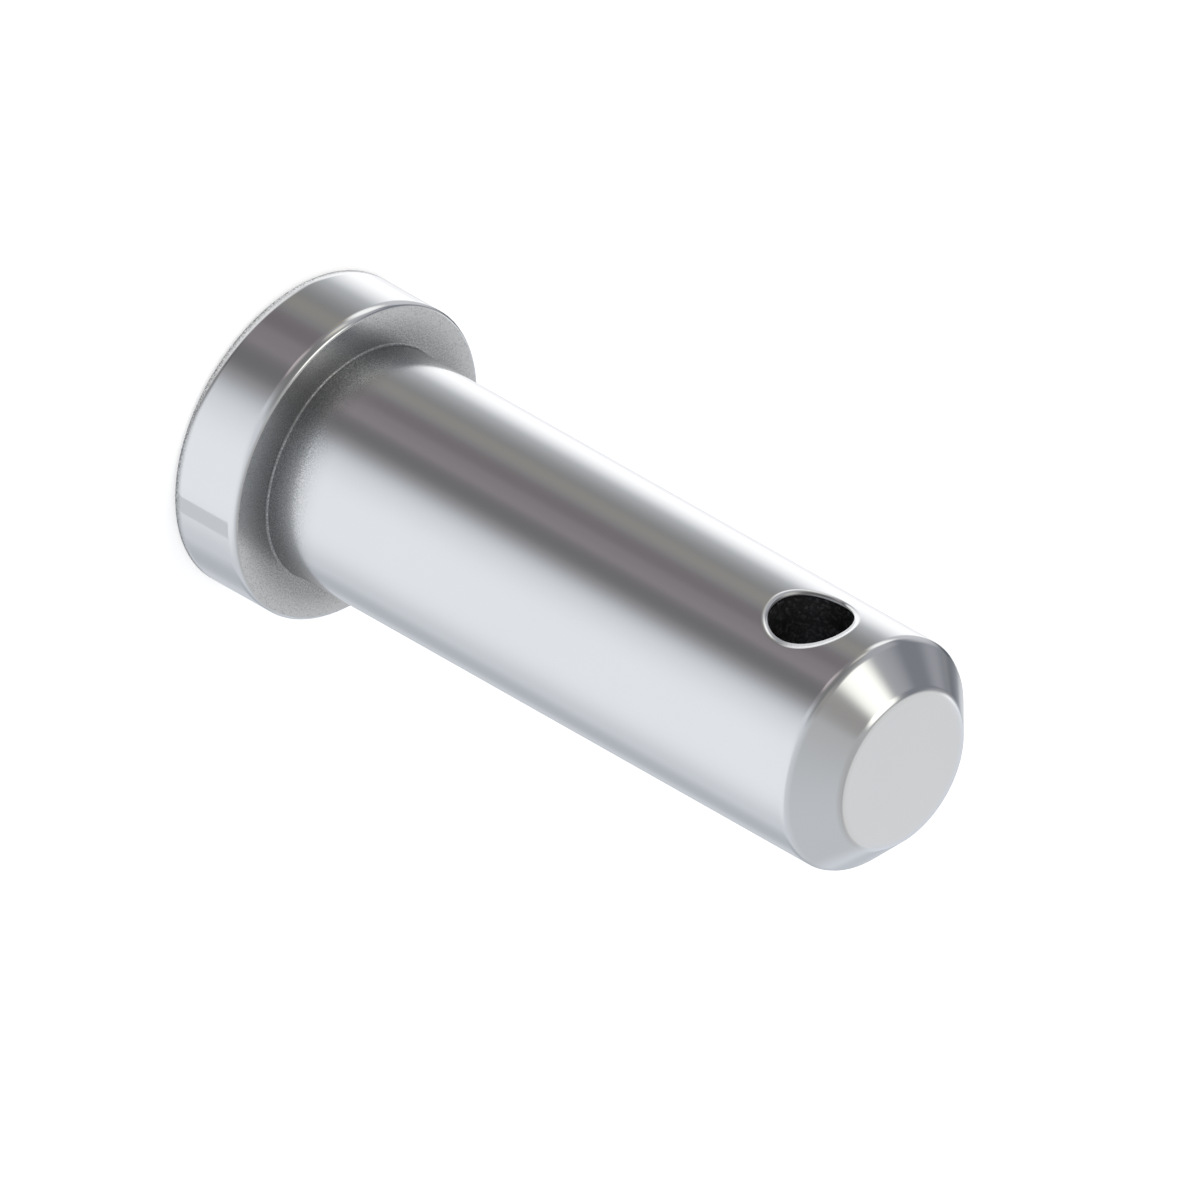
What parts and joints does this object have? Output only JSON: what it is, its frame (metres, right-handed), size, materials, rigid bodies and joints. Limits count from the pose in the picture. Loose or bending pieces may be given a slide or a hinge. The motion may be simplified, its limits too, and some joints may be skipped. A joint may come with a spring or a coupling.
{
  "type": "gauge wheel pin",
  "caption": "Turned steel pin with a flat disc head, a plain shank, a cross hole for a retaining clip near the far end, and a short cone that leads it into its bracket.",
  "frame": {"origin": "centre of the head's flat outer face, on the pin's axis", "axes": "+Z along the pin's axis from the head to the cone, with the cross hole along Y; the pin stands on its head"},
  "size_m": [0.0256, 0.0256, 0.0636],
  "materials": {
    "steel": "bright turned and ground steel, satin"
  },
  "bodies": {
    "root": {"pin": "steel"}
  },
  "joints": []
}
